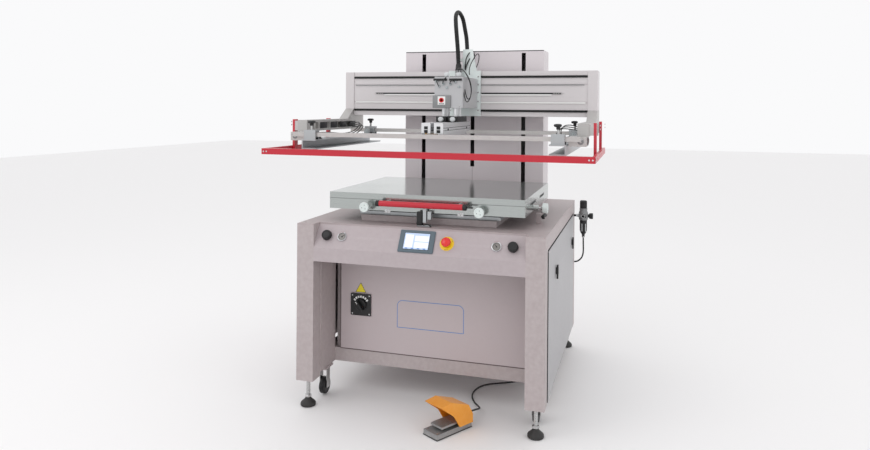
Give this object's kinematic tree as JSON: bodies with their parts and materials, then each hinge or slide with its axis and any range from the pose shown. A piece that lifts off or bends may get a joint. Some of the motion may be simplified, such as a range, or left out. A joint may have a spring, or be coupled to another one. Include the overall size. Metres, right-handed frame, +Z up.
{
  "type": "flat-bed screen printing press",
  "caption": "Free-standing flat-bed screen printing press: vertical-lift head with squeegee carriage over a registration table, on a cabinet with a control console.",
  "frame": {"origin": "on the floor under the middle of the machine's outer box, cords left out", "axes": "+Z up, -Y towards the operator, +X to the operator's right along the print stroke"},
  "size_m": [1.442, 1.319, 1.8191],
  "materials": {
    "alu": "satin",
    "black_plastic": "matte",
    "blade": "matte",
    "body_paint": "satin",
    "chrome": "polished",
    "dark_metal": "satin",
    "orange_paint": "satin",
    "pale_paint": "satin",
    "red_paint": "gloss",
    "red_plastic": "gloss",
    "rubber": "matte",
    "screen": "gloss",
    "steel": "brushed",
    "white_plastic": "gloss"
  },
  "bodies": {
    "frame": {"cabinet_frame": "body_paint", "cabinet_panels": "body_paint", "front_panel": "body_paint", "levelling_feet": "rubber", "console_shell": "pale_paint", "touch_screen": "screen", "console_dials": "chrome", "column_cover": "pale_paint", "mast": "steel", "drive_units": "dark_metal", "table_base": "alu", "filter_body": "alu", "filter_tube": "rubber", "pedal_base": "alu", "pedal_guard": "orange_paint", "pedal_cord": "rubber"},
    "caster_fork_left": {"caster_fork_left": "steel"},
    "caster_fork_right": {"caster_fork_right": "steel"},
    "caster_wheel_left": {"caster_wheel_left": "rubber"},
    "caster_wheel_right": {"caster_wheel_right": "rubber"},
    "rear_wheel_left": {"rear_wheel_left": "rubber"},
    "rear_wheel_right": {"rear_wheel_right": "rubber"},
    "head": {"lift_carriage": "alu", "beam": "pale_paint", "frame_arms": "alu", "cross_rails": "alu"},
    "lift_screw": {"lift_screw": "steel"},
    "traverse_screw": {"traverse_screw": "steel"},
    "carriage": {"carriage_plate": "alu", "cylinder_block": "alu", "carriage_conduit": "rubber"},
    "squeegee": {"squeegee_bar": "alu", "squeegee_blade": "blade"},
    "flood": {"flood_bar": "alu"},
    "squeegee_dial": {"squeegee_dial": "white_plastic"},
    "flood_dial": {"flood_dial": "white_plastic"},
    "screen_holder_left": {"screen_holder_left": "alu"},
    "screen_holder_right": {"screen_holder_right": "alu"},
    "clamp_knob_left_front": {"clamp_knob_left_front": "black_plastic"},
    "clamp_knob_left_rear": {"clamp_knob_left_rear": "black_plastic"},
    "clamp_knob_right_front": {"clamp_knob_right_front": "black_plastic"},
    "clamp_knob_right_rear": {"clamp_knob_right_rear": "black_plastic"},
    "guard": {"guard_frame": "red_paint"},
    "table_slide": {"cross_slide": "steel"},
    "table": {"table_top": "alu"},
    "table_dial_left": {"table_dial_left": "white_plastic"},
    "table_dial_right": {"table_dial_right": "white_plastic"},
    "side_dial": {"side_dial": "white_plastic"},
    "lock_lever": {"lock_lever": "dark_metal"},
    "table_bar": {"table_bar": "red_paint"},
    "estop_button": {"estop_button": "red_plastic"},
    "pressure_knob_left": {"pressure_knob_left": "black_plastic"},
    "pressure_knob_right": {"pressure_knob_right": "black_plastic"},
    "switch_knob": {"switch_knob": "black_plastic"},
    "side_door": {"side_door": "body_paint"},
    "latch_front": {"latch_front": "dark_metal"},
    "latch_rear": {"latch_rear": "dark_metal"},
    "filter_knob": {"filter_knob": "black_plastic"},
    "pedal_tread": {"pedal_tread": "steel"}
  },
  "joints": [
    {"name": "caster_swivel_left", "type": "hinge", "parent": "frame", "child": "caster_fork_left", "pos_m": [-0.48, -0.3955, 0.131], "axis": [0, 0, 1], "continuous": true},
    {"name": "caster_roll_left", "type": "hinge", "parent": "caster_fork_left", "child": "caster_wheel_left", "pos_m": [-0.48, -0.3775, 0.04], "axis": [1, 0, 0], "continuous": true},
    {"name": "rear_roll_left", "type": "hinge", "parent": "frame", "child": "rear_wheel_left", "pos_m": [-0.48, 0.4845, 0.04], "axis": [1, 0, 0], "continuous": true},
    {"name": "caster_swivel_right", "type": "hinge", "parent": "frame", "child": "caster_fork_right", "pos_m": [0.48, -0.3955, 0.131], "axis": [0, 0, 1], "continuous": true},
    {"name": "caster_roll_right", "type": "hinge", "parent": "caster_fork_right", "child": "caster_wheel_right", "pos_m": [0.48, -0.3775, 0.04], "axis": [1, 0, 0], "continuous": true},
    {"name": "rear_roll_right", "type": "hinge", "parent": "frame", "child": "rear_wheel_right", "pos_m": [0.48, 0.4845, 0.04], "axis": [1, 0, 0], "continuous": true},
    {"name": "head_lift", "type": "slide", "parent": "frame", "child": "head", "axis": [0, 0, 1], "range_m": [-0.18, 0]},
    {"name": "lift_screw_turn", "type": "hinge", "parent": "frame", "child": "lift_screw", "pos_m": [0, 0.5345, 0.9], "axis": [0, 0, 1], "range_deg": [-3250, 10]},
    {"name": "carriage_travel", "type": "slide", "parent": "head", "child": "carriage", "axis": [1, 0, 0], "range_m": [-0.35, 0.35]},
    {"name": "traverse_screw_turn", "type": "hinge", "parent": "head", "child": "traverse_screw", "pos_m": [0, 0.3465, 1.3715], "axis": [1, 0, 0], "range_deg": [-6310, 6310]},
    {"name": "squeegee_press", "type": "slide", "parent": "carriage", "child": "squeegee", "axis": [0, 0, 1], "range_m": [-0.06, 0]},
    {"name": "flood_press", "type": "slide", "parent": "carriage", "child": "flood", "axis": [0, 0, 1], "range_m": [-0.06, 0]},
    {"name": "squeegee_dial_turn", "type": "hinge", "parent": "squeegee", "child": "squeegee_dial", "pos_m": [-0.029, -0.0705, 1.243], "axis": [0, 1, 0], "range_deg": [-720, 720]},
    {"name": "flood_dial_turn", "type": "hinge", "parent": "flood", "child": "flood_dial", "pos_m": [0.029, -0.0705, 1.243], "axis": [0, 1, 0], "range_deg": [-720, 720]},
    {"name": "holder_slide_left", "type": "slide", "parent": "head", "child": "screen_holder_left", "axis": [1, 0, 0], "range_m": [0, 0.115]},
    {"name": "holder_slide_right", "type": "slide", "parent": "head", "child": "screen_holder_right", "axis": [1, 0, 0], "range_m": [-0.115, 0]},
    {"name": "clamp_turn_left_front", "type": "hinge", "parent": "screen_holder_left", "child": "clamp_knob_left_front", "pos_m": [-0.56, -0.3655, 1.2], "axis": [0, 0, 1], "range_deg": [0, 720]},
    {"name": "clamp_turn_left_rear", "type": "hinge", "parent": "screen_holder_left", "child": "clamp_knob_left_rear", "pos_m": [-0.56, 0.3545, 1.2], "axis": [0, 0, 1], "range_deg": [0, 720]},
    {"name": "clamp_turn_right_front", "type": "hinge", "parent": "screen_holder_right", "child": "clamp_knob_right_front", "pos_m": [0.56, -0.3655, 1.2], "axis": [0, 0, 1], "range_deg": [0, 720]},
    {"name": "clamp_turn_right_rear", "type": "hinge", "parent": "screen_holder_right", "child": "clamp_knob_right_rear", "pos_m": [0.56, 0.3545, 1.2], "axis": [0, 0, 1], "range_deg": [0, 720]},
    {"name": "guard_lift", "type": "slide", "parent": "head", "child": "guard", "axis": [0, 0, 1], "range_m": [0, 0.01], "stiffness_N_per_m": 800, "springref_m": -0.005},
    {"name": "table_adjust_y", "type": "slide", "parent": "frame", "child": "table_slide", "axis": [0, 1, 0], "range_m": [-0.01, 0.01]},
    {"name": "table_adjust_x", "type": "slide", "parent": "table_slide", "child": "table", "axis": [1, 0, 0], "range_m": [-0.01, 0.01]},
    {"name": "table_dial_left_turn", "type": "hinge", "parent": "table", "child": "table_dial_left", "pos_m": [-0.253, -0.4715, 0.868], "axis": [0, 1, 0], "range_deg": [-725, 725]},
    {"name": "table_dial_right_turn", "type": "hinge", "parent": "table", "child": "table_dial_right", "pos_m": [0.253, -0.4715, 0.868], "axis": [0, 1, 0], "range_deg": [-725, 725]},
    {"name": "side_dial_turn", "type": "hinge", "parent": "table", "child": "side_dial", "pos_m": [0.49, -0.2455, 0.868], "axis": [1, 0, 0], "range_deg": [-725, 725]},
    {"name": "lock_lever_swing", "type": "hinge", "parent": "frame", "child": "lock_lever", "pos_m": [0.46, -0.2005, 0.823], "axis": [1, 0, 0], "range_deg": [0, 70]},
    {"name": "table_bar_press", "type": "slide", "parent": "table", "child": "table_bar", "axis": [0, 1, 0], "range_m": [0, 0.005], "stiffness_N_per_m": 2000, "springref_m": -0.002},
    {"name": "estop_press", "type": "slide", "parent": "frame", "child": "estop_button", "axis": [0, -0.8499, 0.527], "range_m": [-0.005, 0]},
    {"name": "pressure_turn_left", "type": "hinge", "parent": "frame", "child": "pressure_knob_left", "pos_m": [-0.404, -0.51652, 0.74174], "axis": [0, -0.8499, 0.527], "range_deg": [0, 1080]},
    {"name": "pressure_turn_right", "type": "hinge", "parent": "frame", "child": "pressure_knob_right", "pos_m": [0.404, -0.51652, 0.74174], "axis": [0, -0.8499, 0.527], "range_deg": [0, 1080]},
    {"name": "switch_turn", "type": "hinge", "parent": "frame", "child": "switch_knob", "pos_m": [-0.326, -0.3235, 0.403], "axis": [0, 1, 0], "range_deg": [0, 90]},
    {"name": "door_tilt", "type": "hinge", "parent": "frame", "child": "side_door", "pos_m": [0.5365, 0.0445, 0.126], "axis": [0, 1, 0], "range_deg": [0, 35]},
    {"name": "latch_turn_front", "type": "hinge", "parent": "side_door", "child": "latch_front", "pos_m": [0.54, -0.2155, 0.59], "axis": [1, 0, 0], "range_deg": [0, 90]},
    {"name": "latch_turn_rear", "type": "hinge", "parent": "side_door", "child": "latch_rear", "pos_m": [0.54, 0.4645, 0.59], "axis": [1, 0, 0], "range_deg": [0, 90]},
    {"name": "filter_turn", "type": "hinge", "parent": "frame", "child": "filter_knob", "pos_m": [0.586, 0.5945, 0.78], "axis": [0, 0, 1], "range_deg": [0, 1080]},
    {"name": "pedal_press", "type": "hinge", "parent": "frame", "child": "pedal_tread", "pos_m": [0.18451, -0.50007, 0.036], "axis": [0.8572, -0.515, 0], "range_deg": [0, 4], "stiffness_Nm_per_rad": 12, "springref_deg": -5.73}
  ],
  "couplings": [
    {"joint": "lift_screw_turn", "follows": "head_lift", "rad_per_m": 314.16},
    {"joint": "traverse_screw_turn", "follows": "carriage_travel", "rad_per_m": 314.16},
    {"joint": "table_dial_left_turn", "follows": "table_adjust_y", "rad_per_m": 1256.6},
    {"joint": "table_dial_right_turn", "follows": "table_adjust_y", "rad_per_m": 1256.6},
    {"joint": "side_dial_turn", "follows": "table_adjust_x", "rad_per_m": 1256.6}
  ]
}
